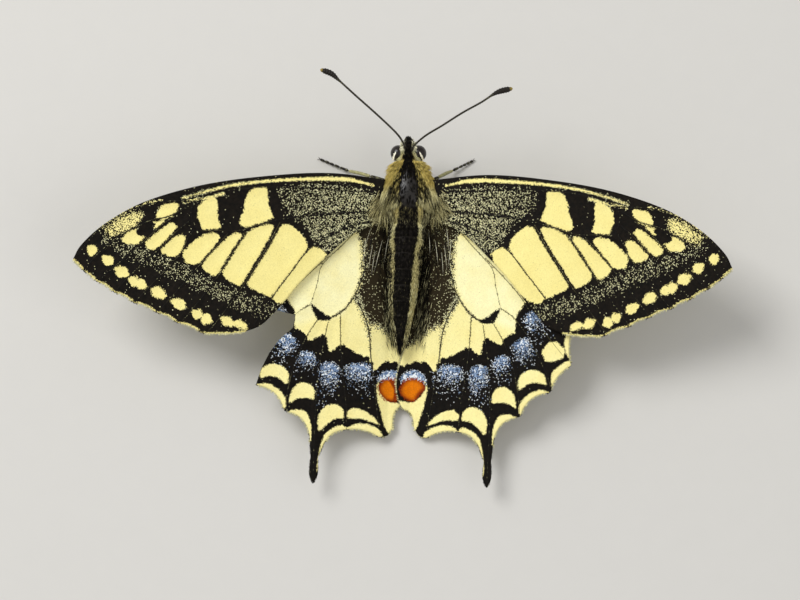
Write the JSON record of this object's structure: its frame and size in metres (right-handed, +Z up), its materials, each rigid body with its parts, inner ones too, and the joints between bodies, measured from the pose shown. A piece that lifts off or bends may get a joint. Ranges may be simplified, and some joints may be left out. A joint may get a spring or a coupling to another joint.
{
  "type": "swallowtail butterfly",
  "caption": "Still, life-size swallowtail butterfly resting with its wings spread: yellow and black scaled wings, tails on the hindwings, furry body, clubbed feelers.",
  "frame": {"origin": "on the ground, under the middle of the bounding box", "axes": "+X to the butterfly's right side, +Y towards its head, +Z up"},
  "size_m": [0.0824, 0.052, 0.0143],
  "materials": {
    "wing_scales": "matt powdery wing scales, pale yellow with black veins and borders",
    "coat": "soft hair, black along the back and ochre along the sides",
    "skin": "black cuticle under the coat, slightly shiny",
    "eye": "glossy dark brown with fine facets",
    "horn": "satin black cuticle with fine scales"
  },
  "bodies": {
    "root": {"wing_fore_left": "wing_scales", "wing_fore_right": "wing_scales", "wing_hind_left": "wing_scales", "wing_hind_right": "wing_scales", "thorax": "coat", "abdomen": "coat", "head": "coat", "eye_left": "eye", "eye_right": "eye", "antenna_left": "horn", "antenna_right": "horn", "palp_left": "coat", "palp_right": "coat", "proboscis": "horn", "leg_fore_left": "horn", "leg_fore_right": "horn", "leg_mid_left": "horn", "leg_mid_right": "horn", "leg_hind_left": "horn", "leg_hind_right": "horn"}
  },
  "joints": []
}
